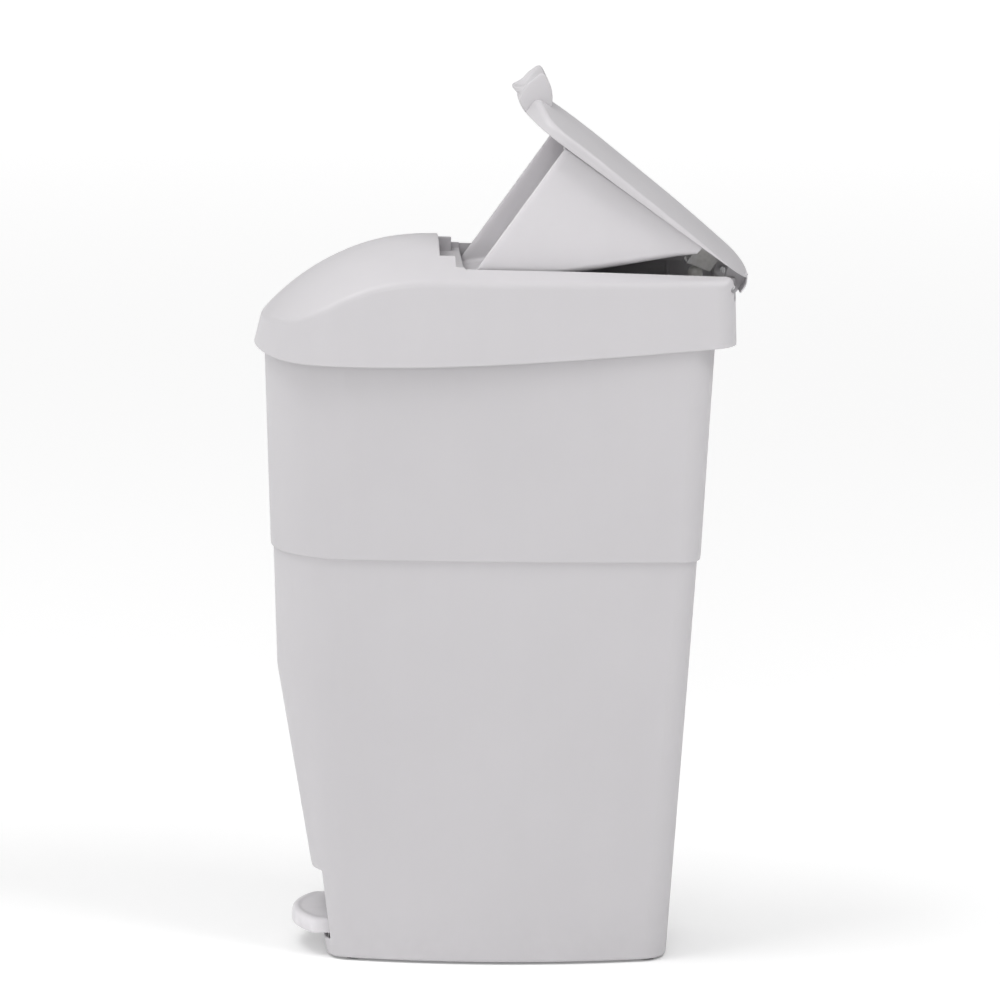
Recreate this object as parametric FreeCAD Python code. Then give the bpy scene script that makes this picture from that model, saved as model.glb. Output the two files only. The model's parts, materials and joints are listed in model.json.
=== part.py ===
import FreeCAD, Part
import math
import os
from collections import namedtuple

# Slim pedal bin, modelled with its lid open and its pedal pressed. Millimetres.
# X runs across the bin, -Y is the front with the pedal, +Y is the rear with the hinge, Z is up.
# The origin is on the floor, at the centre of the bin's overall box.

V = FreeCAD.Vector
X_AXIS = V(1, 0, 0)
Z_AXIS = V(0, 0, 1)

# ---- shell dimensions ----
WALL = 2.5
TRAY_WALL = 2.0
FAR = 300.0                 # beyond every part, for cutting tools
CROWN_DEPTH = 250.0         # depth of the block under a crown
CROWN_HALF = 100.0          # half width of that block
SEAT_CLEARANCE = 0.4        # gap round pieces that drop into the tub
EDGE_R = 0.8                # moulded radius on handled edges
PRESS_GAP = 0.02            # radial gap of parts that don't turn
DRIVE_GAP = 0.03            # radial gap round a screw or rivet shank
RUN_GAP = 0.06              # radial gap of parts that turn or slide
NEAR = 0.01                 # tolerance for finding an edge

# An outline is four large arcs (nose, two sides, back) joined by tangent corner arcs.
Outline = namedtuple("Outline", "front rear half nose_r side_r side_y rear_r corner_f corner_r")

# ---- tub: height and outline of each level ----
TUB_FOOT_Z = 2.0
TUB_KNEE_Z = 237.0
TUB_STEP_Z = 338.0
TUB_TOP_Z = 545.0
TUB_FOOT = Outline(-135.4, 146.0, 67.0, 500, 650, 8, 400, 18, 24)
TUB_KNEE = Outline(-177.0, 158.7, 71.6, 130, 2200, 30, 450, 58, 18)
TUB_STEP_LOW = Outline(-181.0, 164.0, 73.6, 120, 2600, 40, 450, 64, 16)
TUB_STEP_HIGH = Outline(-183.2, 166.6, 75.8, 122, 2600, 40, 452, 66, 18)
TUB_TOP = Outline(-191.5, 175.5, 83.0, 130, 2600, 10, 450, 66, 20)
FOOT_EDGE_R = 2.2
STEP_EDGE_R = 1.2
FLOOR_Z = 80.0
RIM_Z = 524.0               # rim height at Y = 0
RIM_SLOPE = 0.042           # the rim rises towards the rear
RING_Z = 504.0
RING_WIDTH = 4.0
RING_HEIGHT = 6.0
RING_TAPER = 2.6            # the tub is about this much narrower here than at its top level
RING_LUG_Y = (-60.0, 90.0)
RING_LUG_X = (74.0, 90.0)
RING_LUG_LENGTH = 16.0
RING_LUG_DEPTH = 5.0

# ---- cover ----
SKIRT_Z = 490.0
CROWN_Z = 605.0
COVER_LOW = Outline(-201.4, 191.8, 90.5, 136, 2600, -30, 600, 46, 18)
COVER_HIGH = Outline(-174.0, 186.5, 82.5, 130, 2600, -30, 600, 42, 14)
COVER_CROWN_R = 155.0       # radius of the crown across the bin
COVER_SHOULDER = 7.0        # rounding between crown and skirt
COVER_CROWN = [(-206, 505), (-192, 527), (-178, 542), (-153, 562), (-126, 577), (-97, 587),
               (-70, 591), (-30, 591.2), (44, 590.2), (120, 588.6), (206, 586.4)]
SKIRT_EDGE = [(-206, 505), (-185, 501.5), (-150, 499), (-100, 498), (-25, 500), (20, 502.5),
              (108, 509), (169, 514), (206, 517.5)]
OPENING_HALF = 69.0
OPENING_FRONT = -31.0
OPENING_REAR = 178.0
COLLAR_Z = 562.0            # the opening's collar reaches down to here
RECESS_FLOOR_Z = 571.0      # finger recess in front of the opening
RECESS_FRONT = -38.0
RECESS_HALF = 66.0
NOTCH_FRONT = -50.5
NOTCH_HALF = 50.0
REAR_CUT_Z = 551.0          # the rear wall is cut down to here between the rails
REAR_CUT_FRONT = 150.0
SEAT_RIB_Y = (-110.0, -20.0, 70.0, 140.0)
SEAT_RIB_X = (76.0, 100.0)
SEAT_RIB = 3.0

# ---- lid, drawn closed and then swung open ----
HINGE = V(0, 183.5, 560.3)
LID_OPEN = 35.0             # degrees
PIN_R = 2.5
EYE_R = 7.0
EAR = 7.0                   # thickness of a hinge ear
COVER_EAR_X = 44.0
LID_EAR_X = 36.5
PIN_END_GAP = 2.0
LID_PLAN = Outline(-33.0, 194.0, 75.0, 150, 2200, 30, 700, 26, 14)
LID_CROWN_R = 300.0
LID_SHOULDER = 5.0
LID_CROWN = [(-50, 590), (-33, 591.5), (-7, 592.5), (67, 589.5), (130, 585.2), (165, 581.8),
             (183, 578.8), (194, 573.5), (200, 567)]
LID_EDGE_FRONT_Z = 575.4
LID_EDGE_REAR_Z = 572.5
LID_SKIRT_Z = 540.0         # below every part of the lid
LIP_Y = 189.5
LIP_Z = 561.0

# ---- grip ----
GRIP_HALF = 28.0
GRIP_REAR = -13.5
GRIP_REAR_Z = 592.5
GRIP_BOTTOM_Z = 578.2
GRIP_LIP = (-49.3, 588.0)
GRIP_TIP = (-38.2, 614.0)
GRIP_BACK = [(GRIP_REAR, GRIP_REAR_Z), (-17.5, 599.7), (-22.5, 605.5), (-28.6, 610.0), GRIP_TIP]
GRIP_UNDER = (-40.5, 581.4)
GRIP_PLAN_R = 54.0          # the lip is an arc in plan
SCOOP_R = 13.2              # finger scoop: a capsule lying across the grip
SCOOP_HALF = 24.0
SCOOP_Y = -49.5
SCOOP_Z = 602.5

# ---- tipping tray ----
TRAY_HALF = 66.0
TRAY_FRONT = 7.5
TRAY_BOTTOM_Z = 430.0
TRAY_REAR = 143.0
TRAY_TOP_Z = 574.0
TRAY_HEEL_Z = 566.0
FLANGE = 14.0
TRAY_BOSS_X = 58.0
TRAY_BOSS_Y = (22.0, 95.0)
BOSS_R = 4.5
SCREW_R = 1.75
HEAD_R = 3.5
HEAD_H = 2.2

# ---- lift rod and its lug ----
ROD_R = 3.0
ROD_TILT = 3.05             # degrees, parallel to the tub's rear wall
ROD_ARM = 25.5              # hinge axis to rod axis
PLAY = 0.8                  # clearance at the two open contacts
DOME_R = 5.5                # rounding of the rod's two ends
SOCKET_WALL = 4.0           # solid end of the cap and of the foot
LUG_HALF = 12.0
LUG_STEEL = 2.0
LUG_NEAR = 16.0             # reach of the lug's pad from the hinge axis
LUG_REACH = 36.0
LUG_FLANGE = 11.0
RIVET = V(17.0, 158.0, 577.2)   # top of the head of the right-hand rivet, lid closed
RIVET_R = 1.6
RIVET_LENGTH = 3.8
ROD_HOLE_GAP = 2.0
CAP_R = 6.0
CAP_H = 11.0
FOOT_R = 7.0
FOOT_H = 12.0
GUIDE_HALF = 10.0
GUIDE_H = 14.0
GUIDE_FRONT = 8.0           # guide in front of the rod axis
GUIDE_Z = (112.0, 496.0)
WALL_REACH = 40.0           # from the rod to beyond the tub's rear wall
SHROUD_HALF = 13.0
SHROUD_WALL = 1.5
SHROUD_FRONT = 11.0
SHROUD_Z = (122.0, 482.0)

# ---- pedal ----
PIVOT = V(0, 45.0, 34.0)
AXLE_R = 4.0
AXLE_HALF = 40.0
HUB_HALF = 24.0
HUB_R = 9.0
BUSH_R = 6.0
BUSH_LENGTH = 12.0
BUSH_FLANGE = 1.5
POST_X = 26.0
POST_WIDTH = 8.0
POST_FOOT = 16.0            # half length of a post at its foot
POST_HEAD = 8.0             # half length of a post at its top
POST_TOP_Z = 43.0
CLIP_R = 8.0
CLIP_H = 1.2
ARM_HALF = 12.0
ARM_DEPTH = 7.0
ARM_REACH = 95.0            # rear arm, past the rod
PAD_TIP = -163.0
PAD_REAR = -112.0
PAD_HALF = 44.0
PAD_BOTTOM_Z = 20.0
PAD_TOP_Z = 32.0
PAD_SKIN = 3.0
PAD_NOSE = 17.0             # depth of the pad's curved front
PAD_EDGE_R = 3.0
PAD_SCREWS = [(22, -132), (-22, -132)]
TOE_PLATE = 3.5
TOE_GAP = 0.3
SLOT_FRONT = -118.0
SLOT_HALF = 47.0
SLOT_Z = (16.0, 74.0)

# ---- base ----
BASE_Z = 3.0
BASE_H = 3.0
BASE_BOSS = [(45, -95), (-45, -95), (45, 110), (-45, 110)]
BASE_BOSS_R = 6.0
BASE_HEAD_R = 4.5
FOOT_PLACES = [(42, -112), (-42, -112), (42, 127), (-42, 127)]
RUBBER_R = 9.0
RUBBER_TAPER = 1.5
SCREW_DEPTH = 18.0
HOLE_GAP = 0.2              # radial gap of a screw's clearance hole


# ---------------------------------------------------------------- outlines and blocks
def unit(v):
    return v * (1.0 / v.Length)


def fillet_centre(c1, r1, c2, r2, r, end):
    """Centre of the arc of radius r that touches two circles from inside; end is -1 front, 1 rear."""
    d1 = r1 - r
    d2 = r2 - r
    between = c2 - c1
    gap = between.Length
    along = (d1 * d1 - d2 * d2 + gap * gap) / (2 * gap)
    across = math.sqrt(d1 * d1 - along * along)
    side = unit(between)
    normal = V(-side.y, side.x, 0)
    spots = [c1 + side * along + normal * across, c1 + side * along - normal * across]
    return max(spots, key=lambda p: end * p.y)


def arc(centre, radius, start, end):
    middle = centre + unit((start - centre) + (end - centre)) * radius
    return Part.Arc(start, middle, end).toShape()


def mirrored(p):
    return V(-p.x, p.y, p.z)


def outline_wire(o, z, inset=0.0):
    """Closed outline at height z, moved inwards by inset."""
    up = V(0, 0, z)
    nose = (V(0, o.front + o.nose_r, 0) + up, o.nose_r)
    side = (V(o.half - o.side_r, o.side_y, 0) + up, o.side_r)
    back = (V(0, o.rear - o.rear_r, 0) + up, o.rear_r)
    front_c = fillet_centre(*nose, *side, o.corner_f, -1)
    rear_c = fillet_centre(*back, *side, o.corner_r, 1)

    def touch(circle, corner):
        return circle[0] + unit(corner - circle[0]) * (circle[1] - inset)

    a = touch(nose, front_c)
    b = touch(side, front_c)
    c = touch(side, rear_c)
    d = touch(back, rear_c)
    right = [arc(front_c, o.corner_f - inset, a, b),
             arc(side[0], o.side_r - inset, b, c),
             arc(rear_c, o.corner_r - inset, c, d)]
    left = [arc(mirrored(rear_c), o.corner_r - inset, mirrored(d), mirrored(c)),
            arc(mirrored(side[0]), o.side_r - inset, mirrored(c), mirrored(b)),
            arc(mirrored(front_c), o.corner_f - inset, mirrored(b), mirrored(a))]
    back_arc = arc(back[0], o.rear_r - inset, d, mirrored(d))
    nose_arc = arc(nose[0], o.nose_r - inset, mirrored(a), a)
    return Part.Wire(right + [back_arc] + left + [nose_arc])


def stack(levels, inset=0.0):
    """Solid through outlines at (height, outline) levels."""
    slices = [Part.makeLoft([outline_wire(o1, z1, inset), outline_wire(o2, z2, inset)], True, True)
              for (z1, o1), (z2, o2) in zip(levels, levels[1:])]
    solid = slices[0]
    for piece in slices[1:]:
        solid = solid.fuse(piece)
    return solid


def crown_curve(points):
    curve = Part.BSplineCurve()
    curve.interpolate([V(0, y, z) for y, z in points])
    return curve


def crowned(line, radius, half, drop=0.0):
    """Block whose top is an arc across X carried along the (y, z) crown line, lowered by drop."""
    fall = radius - math.sqrt(radius * radius - half * half)
    edge = Part.Arc(V(-half, 0, -fall), V(0, 0, 0), V(half, 0, -fall)).toShape()
    bow = edge.Curve.toBSpline(*edge.ParameterRange)
    spine = crown_curve(line)
    poles = [[p + a - Z_AXIS * drop for a in bow.getPoles()] for p in spine.getPoles()]
    weights = [bow.getWeights() for _ in spine.getPoles()]
    roof = Part.BSplineSurface()
    roof.buildFromPolesMultsKnots(poles, spine.getMultiplicities(), bow.getMultiplicities(),
                                  spine.getKnots(), bow.getKnots(), False, False,
                                  spine.Degree, bow.Degree, weights)
    return roof.toShape().extrude(Z_AXIS * -CROWN_DEPTH)


def box(x, y, z):
    """Box between the two limits given for each axis."""
    return Part.makeBox(x[1] - x[0], y[1] - y[0], z[1] - z[0], V(x[0], y[0], z[0]))


def centred_box(half, y, z):
    return box((-half, half), y, z)


def across(points, half):
    """Flat (y, z) polygon extruded to both sides of X = 0."""
    corners = [V(-half, y, z) for y, z in points]
    face = Part.Face(Part.makePolygon(corners + corners[:1]))
    return face.extrude(V(2 * half, 0, 0))


def below_curve(points, half):
    """Everything under a smooth (y, z) line."""
    curve = Part.BSplineCurve()
    curve.interpolate([V(-half, y, z) for y, z in points])
    start = V(-half, *points[0])
    end = V(-half, *points[-1])
    low_end = V(-half, points[-1][0], 0)
    low_start = V(-half, points[0][0], 0)
    wire = Part.Wire([curve.toShape(), Part.makeLine(end, low_end),
                      Part.makeLine(low_end, low_start), Part.makeLine(low_start, start)])
    return Part.Face(wire).extrude(V(2 * half, 0, 0))


def rod_along_x(radius, x0, x1, centre):
    return Part.makeCylinder(radius, x1 - x0, V(x0, centre.y, centre.z), X_AXIS)


def tube_along_x(outer, inner, x0, x1, centre):
    return rod_along_x(outer, x0, x1, centre).cut(rod_along_x(inner, x0, x1, centre))


def joined(pieces):
    solid = pieces[0]
    for piece in pieces[1:]:
        solid = solid.fuse(piece)
    return solid.removeSplitter()


def middle_of(edge):
    return edge.valueAt((edge.FirstParameter + edge.LastParameter) / 2)


def eased(shape, radius, wanted):
    """The shape with a small radius on every edge whose middle point is wanted."""
    return shape.makeFillet(radius, [edge for edge in shape.Edges if wanted(middle_of(edge))])


def outer_edges(outline, z):
    """Test for points on the outside of a wall, at height z."""
    core = Part.Face(outline_wire(outline, z, WALL / 2))
    return lambda p: abs(p.z - z) < NEAR and not core.isInside(p, NEAR, True)


def outward_z(face):
    """Z component of the face's normal at its middle."""
    u0, u1, v0, v1 = face.ParameterRange
    return face.normalAt((u0 + u1) / 2, (v0 + v1) / 2).z


def both_sides(shape):
    """The shape and its mirror image, as separate solids."""
    return [shape, shape.mirror(V(0, 0, 0), X_AXIS)]


def screw(place, direction, length, head_r=HEAD_R, shank_r=SCREW_R):
    """Pan-head screw: place is under the head, direction points along the shank."""
    shank = Part.makeCylinder(shank_r, length, place, direction)
    head = Part.makeCylinder(head_r, HEAD_H, place - direction * HEAD_H, direction)
    slot = box((-head_r, head_r), (-0.5, 0.5), (-0.5, 0.5))
    slot.Placement = FreeCAD.Placement(place - direction * HEAD_H, FreeCAD.Rotation(Z_AXIS, direction))
    return shank.fuse(head).cut(slot)


def swung_open(shape):
    """A piece drawn on the closed lid, moved to the open lid."""
    moved = shape.copy()
    moved.rotate(HINGE, X_AXIS, -LID_OPEN)
    return moved


# ---------------------------------------------------------------- lift rod geometry
def tilted(angle_deg):
    """Unit vector in the YZ plane, leaning to the rear from vertical."""
    a = math.radians(angle_deg)
    return V(0, math.sin(a), math.cos(a))


ROD_AXIS = tilted(ROD_TILT)
ROD_SIDE = V(0, ROD_AXIS.z, -ROD_AXIS.y)
HALF_SWING = LID_OPEN / 2
ROD_MIDDLE = HINGE - ROD_SIDE * ROD_ARM
HALF_TRAVEL = ROD_ARM * math.tan(math.radians(HALF_SWING))
ROD_LEAN = 28.5             # the rod is this much further forward at the pedal than at the hinge
PEDAL_HALF_SWING = math.degrees(math.atan(HALF_TRAVEL / (ROD_MIDDLE.y - ROD_LEAN - PIVOT.y)))


def rod_top():
    return ROD_MIDDLE + ROD_AXIS * (HALF_TRAVEL - PLAY)


def rod_bottom():
    """Where the rod's foot meets the lever's rear arm, one clearance above it."""
    rise = math.tan(math.radians(PEDAL_HALF_SWING))
    lever_z = PIVOT.z + rise * (ROD_MIDDLE.y - PIVOT.y) + PLAY
    reach = (lever_z - ROD_MIDDLE.z) / (ROD_AXIS.z - rise * ROD_AXIS.y)
    return ROD_MIDDLE + ROD_AXIS * reach


def on_rod(z):
    """Point of the rod's axis at height z."""
    return ROD_MIDDLE + ROD_AXIS * ((z - ROD_MIDDLE.z) / ROD_AXIS.z)


# ---------------------------------------------------------------- tub
TUB_LEVELS_LOW = [(TUB_FOOT_Z, TUB_FOOT), (TUB_KNEE_Z, TUB_KNEE), (TUB_STEP_Z, TUB_STEP_LOW)]
TUB_LEVELS_HIGH = [(TUB_STEP_Z, TUB_STEP_HIGH), (TUB_TOP_Z, TUB_TOP)]


def above_rim():
    return across([(-FAR, RIM_Z - RIM_SLOPE * FAR), (FAR, RIM_Z + RIM_SLOPE * FAR),
                   (FAR, CROWN_Z + FAR), (-FAR, CROWN_Z + FAR)], FAR)


def tub_inside():
    """Inside of the tub, from its foot to past its rim, without the floor."""
    low = stack(TUB_LEVELS_LOW[:-1] + [(TUB_STEP_Z + WALL, TUB_STEP_LOW)], WALL)
    high = stack([(TUB_STEP_Z + WALL, TUB_STEP_HIGH), (TUB_TOP_Z, TUB_TOP)], WALL)
    return low.fuse(high)


def base_bosses():
    solids = []
    for x, y in BASE_BOSS:
        boss = Part.makeCylinder(BASE_BOSS_R, FLOOR_Z + WALL / 2 - BASE_Z - BASE_H,
                                 V(x, y, BASE_Z + BASE_H))
        pilot = Part.makeCylinder(SCREW_R + DRIVE_GAP, SCREW_DEPTH, V(x, y, BASE_Z + BASE_H))
        solids.append(boss.cut(pilot))
    return solids


def on_slot(p):
    """True on the edges of the pedal's slot."""
    at_side = abs(abs(p.x) - SLOT_HALF) < NEAR
    at_end = min(abs(p.z - z) for z in SLOT_Z) < NEAR
    return p.y < SLOT_FRONT and (at_side or at_end)


def bin_body(inside):
    outer = stack(TUB_LEVELS_LOW).fuse(stack(TUB_LEVELS_HIGH))
    shell = outer.cut(inside)
    floor = inside.common(centred_box(FAR, (-FAR, FAR), (FLOOR_Z, FLOOR_Z + WALL)))
    lugs = [inside.common(lug) for y in RING_LUG_Y
            for lug in both_sides(box(RING_LUG_X, (y - RING_LUG_LENGTH / 2, y + RING_LUG_LENGTH / 2),
                                      (RING_Z - RING_LUG_DEPTH, RING_Z)))]
    body = joined([shell, floor] + lugs + base_bosses())
    slot = centred_box(SLOT_HALF, (-FAR, SLOT_FRONT), SLOT_Z)
    rod_hole = Part.makeCylinder(ROD_R + ROD_HOLE_GAP, 40, on_rod(FLOOR_Z - 20), ROD_AXIS)
    body = body.cut(slot).cut(rod_hole).cut(above_rim())
    body = eased(body, FOOT_EDGE_R, outer_edges(TUB_FOOT, TUB_FOOT_Z))
    body = eased(body, STEP_EDGE_R, outer_edges(TUB_STEP_HIGH, TUB_STEP_Z))
    body = eased(body, EDGE_R, lambda p: abs(p.z - RIM_Z - RIM_SLOPE * p.y) < NEAR)
    return eased(body, EDGE_R, on_slot)


def base_plate():
    sheet = stack([(BASE_Z, TUB_FOOT), (BASE_Z + BASE_H, TUB_FOOT)], WALL + SEAT_CLEARANCE)
    posts = []
    for x0 in (POST_X, -POST_X - POST_WIDTH):
        post = across([(PIVOT.y - POST_FOOT, BASE_Z + 1), (PIVOT.y + POST_FOOT, BASE_Z + 1),
                       (PIVOT.y + POST_HEAD, POST_TOP_Z), (PIVOT.y - POST_HEAD, POST_TOP_Z)],
                      POST_WIDTH / 2)
        post.translate(V(x0 + POST_WIDTH / 2, 0, 0))
        posts.append(post)
    plate = joined([sheet] + posts)
    plate = plate.cut(rod_along_x(AXLE_R + PRESS_GAP, -FAR, FAR, PIVOT))
    for x, y in BASE_BOSS:
        plate = plate.cut(Part.makeCylinder(SCREW_R + HOLE_GAP, BASE_H + 2, V(x, y, BASE_Z - 1)))
    return plate


def base_screws():
    return Part.makeCompound([screw(V(x, y, BASE_Z), Z_AXIS, SCREW_DEPTH, BASE_HEAD_R)
                              for x, y in BASE_BOSS])


def rubber_feet():
    return Part.makeCompound([Part.makeCone(RUBBER_R - RUBBER_TAPER, RUBBER_R, BASE_Z, V(x, y, 0))
                              for x, y in FOOT_PLACES])


def bag_ring():
    levels = [(RING_Z, TUB_TOP), (RING_Z + RING_HEIGHT, TUB_TOP)]
    edge = WALL + RING_TAPER + SEAT_CLEARANCE
    ring = stack(levels, edge).cut(stack(levels, edge + RING_WIDTH))
    return eased(ring, EDGE_R, lambda p: min(abs(p.z - z) for z, _ in levels) < NEAR)


# ---------------------------------------------------------------- rod guides and shroud
def guide(z, body):
    """Block between the rod and the tub's rear wall."""
    middle = on_rod(z)
    block = centred_box(GUIDE_HALF, (middle.y - GUIDE_FRONT, middle.y + WALL_REACH),
                        (z - GUIDE_H / 2, z + GUIDE_H / 2))
    bore = Part.makeCylinder(ROD_R + RUN_GAP, 2 * GUIDE_H, on_rod(z - GUIDE_H), ROD_AXIS)
    pieces = block.cut(body).cut(bore).Solids
    return min(pieces, key=lambda s: s.CenterOfMass.y)


def rod_shroud(body):
    """Channel along the rear wall, round the rod."""
    low = on_rod(SHROUD_Z[0])
    height = SHROUD_Z[1] - SHROUD_Z[0]
    lean = ROD_AXIS.y / ROD_AXIS.z * height

    def channel(half, front):
        back = low.y + WALL_REACH
        return across([(low.y - front, SHROUD_Z[0]), (back, SHROUD_Z[0]),
                       (back + lean, SHROUD_Z[1]), (low.y - front + lean, SHROUD_Z[1])], half)

    wall = channel(SHROUD_HALF, SHROUD_FRONT)
    wall = wall.cut(channel(SHROUD_HALF - SHROUD_WALL, SHROUD_FRONT - SHROUD_WALL))
    pieces = wall.cut(body).Solids
    return max((s for s in pieces if s.CenterOfMass.y < on_rod(s.CenterOfMass.z).y + SHROUD_HALF),
               key=lambda s: s.Volume)


# ---------------------------------------------------------------- lift rod
def lift_rod():
    start = rod_bottom() + ROD_AXIS * SOCKET_WALL
    end = rod_top() - ROD_AXIS * SOCKET_WALL
    return Part.makeCylinder(ROD_R, (end - start).Length, start, ROD_AXIS)


def rod_cap():
    base = rod_top() - ROD_AXIS * CAP_H
    cap = Part.makeCylinder(CAP_R, CAP_H, base, ROD_AXIS)
    cap = cap.makeFillet(DOME_R, [cap.Edges[0]])
    bore = Part.makeCylinder(ROD_R + PRESS_GAP, CAP_H - SOCKET_WALL, base, ROD_AXIS)
    return cap.cut(bore)


def rod_foot():
    base = rod_bottom()
    foot = Part.makeCylinder(FOOT_R, FOOT_H, base, ROD_AXIS)
    foot = foot.makeFillet(DOME_R, [foot.Edges[2]])
    bore = Part.makeCylinder(ROD_R + PRESS_GAP, FOOT_H - SOCKET_WALL, base + ROD_AXIS * SOCKET_WALL,
                             ROD_AXIS)
    return foot.cut(bore)


# ---------------------------------------------------------------- cover
def rounded_crown(block, radius):
    """The block with the rim of its crowned top rounded."""
    return block.makeFillet(radius, max(block.Faces, key=outward_z).OuterWire.Edges)


def cover_block(inset=0.0):
    plan = stack([(SKIRT_Z, COVER_LOW), (CROWN_Z, COVER_HIGH)], inset)
    block = plan.common(crowned(COVER_CROWN, COVER_CROWN_R, CROWN_HALF, inset))
    return rounded_crown(block, COVER_SHOULDER - inset)


def hinge_ear(x0, points):
    """Ear with an eye round the hinge axis; points is its (y, z) web."""
    web = across(points, EAR / 2)
    web.translate(V(x0 + EAR / 2, 0, 0))
    return web.fuse(rod_along_x(EYE_R, x0, x0 + EAR, HINGE))


def cover_ears(outer):
    web = [(HINGE.y - 8, 530), (HINGE.y + 10, 530), (HINGE.y + EYE_R, HINGE.z),
           (HINGE.y - EYE_R, HINGE.z)]
    right = hinge_ear(COVER_EAR_X, web)
    return [ear.common(outer) for ear in both_sides(right)]


def seat_ribs(inside):
    """Ribs inside the cover that stand on the tub's rim."""
    ribs = []
    for y in SEAT_RIB_Y:
        for rib in both_sides(box(SEAT_RIB_X, (y, y + SEAT_RIB), (SKIRT_Z, CROWN_Z))):
            ribs.append(inside.common(rib).common(above_rim()))
    return ribs


def opened(half, y, z_low):
    """Cutting box from z_low upwards, out through the crown."""
    return centred_box(half, y, (z_low, CROWN_Z + FAR))


def ease_cover(cover):
    """Small radii on the steps in front of the opening and on the skirt's lower edge."""
    crown = max((f for f in cover.Faces if outward_z(f) > 0.9), key=lambda f: f.Area)

    def at_step(p):
        return abs(p.x) < OPENING_HALF and NOTCH_FRONT - NEAR < p.y < OPENING_FRONT + NEAR
    cover = cover.makeFillet(EDGE_R, [e for e in crown.Edges if at_step(middle_of(e))])
    skirt = max((f for f in cover.Faces if outward_z(f) < -0.9 and f.CenterOfMass.z < RIM_Z),
                key=lambda f: f.Area)
    return cover.makeFillet(EDGE_R, skirt.Edges)


def top_cover():
    outer = cover_block()
    inside = cover_block(WALL)
    shell = outer.cut(inside)
    wells = [(OPENING_HALF, OPENING_FRONT, OPENING_REAR, COLLAR_Z),
             (RECESS_HALF, RECESS_FRONT, OPENING_FRONT, RECESS_FLOOR_Z),
             (NOTCH_HALF, NOTCH_FRONT, OPENING_FRONT, RECESS_FLOOR_Z)]
    collar = opened(OPENING_HALF + WALL, (OPENING_FRONT, OPENING_REAR), COLLAR_Z)
    ledges = [opened(half + WALL, (front - WALL, rear), low - WALL) for half, front, rear, low in wells[1:]]
    walls = [outer.common(block) for block in [collar] + ledges]
    cover = joined([shell] + walls + seat_ribs(inside))
    tools = [opened(half, (front, rear), low) for half, front, rear, low in wells[1:]]
    tools.append(opened(OPENING_HALF, (OPENING_FRONT, OPENING_REAR), 0))
    tools.append(opened(OPENING_HALF, (REAR_CUT_FRONT, FAR), REAR_CUT_Z))
    tools.append(below_curve(SKIRT_EDGE, CROWN_HALF + WALL))
    for tool in tools:
        cover = cover.cut(tool)
    cover = joined([cover] + cover_ears(outer))
    return ease_cover(cover).cut(rod_along_x(PIN_R + PRESS_GAP, -FAR, FAR, HINGE))


def hinge_pin():
    """Right-hand pin, through the lid's ear and the cover's ear."""
    return rod_along_x(PIN_R, LID_EAR_X - PIN_END_GAP, COVER_EAR_X + EAR + PIN_END_GAP, HINGE)


# ---------------------------------------------------------------- lid
def lid_block(inset=0.0):
    plan = stack([(LID_SKIRT_Z, LID_PLAN), (CROWN_Z, LID_PLAN)], inset)
    block = plan.common(crowned(LID_CROWN, LID_CROWN_R, CROWN_HALF, inset))
    return rounded_crown(block, LID_SHOULDER - inset)


def under_lid():
    """Space under the lid's lower edge, in front of its rear lip."""
    return across([(-FAR, 400), (FAR, 400), (FAR, LIP_Z), (LIP_Y, LIP_Z), (LIP_Y, LID_EDGE_REAR_Z),
                   (LID_PLAN.front, LID_EDGE_FRONT_Z), (-FAR, LID_EDGE_FRONT_Z)], FAR)


def lid_ears():
    web = [(HINGE.y - EYE_R, HINGE.z), (HINGE.y + EYE_R, HINGE.z), (HINGE.y + 5, 600),
           (HINGE.y - 22, 600)]
    return both_sides(hinge_ear(LID_EAR_X, web))


def lid_bosses(block):
    bosses = [Part.makeCylinder(BOSS_R, 40, V(x, y, TRAY_TOP_Z))
              for x in (TRAY_BOSS_X, -TRAY_BOSS_X) for y in TRAY_BOSS_Y]
    return [boss.common(block) for boss in bosses]


def lid_flap(block):
    shell = block.cut(lid_block(WALL)).cut(under_lid())
    roof = block.fuse(centred_box(LID_PLAN.half - 10, (150, 193), (540, 575)))
    ears = [ear.common(roof) for ear in lid_ears()]
    flap = joined([shell] + ears + lid_bosses(block))
    for x in (TRAY_BOSS_X, -TRAY_BOSS_X):
        for y in TRAY_BOSS_Y:
            flap = flap.cut(Part.makeCylinder(SCREW_R + DRIVE_GAP, 4, V(x, y, TRAY_TOP_Z)))
    for shank in rivet_shanks(DRIVE_GAP):
        flap = flap.cut(shank)
    return flap.cut(rod_along_x(PIN_R + RUN_GAP, -FAR, FAR, HINGE))


def lid_grip(block):
    """Hooded grip on the lid's front edge: a round back, a forward lip and a scoop for the fingers."""
    back = Part.BSplineCurve()
    back.interpolate([V(0, y, z) for y, z in GRIP_BACK])
    front = [GRIP_TIP, GRIP_LIP, GRIP_UNDER, (LID_PLAN.front, GRIP_BOTTOM_Z), (GRIP_REAR, GRIP_BOTTOM_Z),
             GRIP_BACK[0]]
    edges = Part.makePolygon([V(0, y, z) for y, z in front]).Edges
    half = Part.Face(Part.Wire([back.toShape()] + edges)).extrude(V(GRIP_HALF, 0, 0))
    plan = Part.makeCylinder(GRIP_PLAN_R, FAR, V(0, GRIP_LIP[0] + GRIP_PLAN_R, LID_SKIRT_Z))
    grip = joined(both_sides(half)).common(plan)
    place = V(0, SCOOP_Y, SCOOP_Z)
    reach = SCOOP_HALF - SCOOP_R
    scoop = [rod_along_x(SCOOP_R, -reach, reach, place)]
    scoop += [Part.makeSphere(SCOOP_R, place + X_AXIS * x) for x in (reach, -reach)]
    return grip.cut(joined(scoop)).cut(block)


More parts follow.
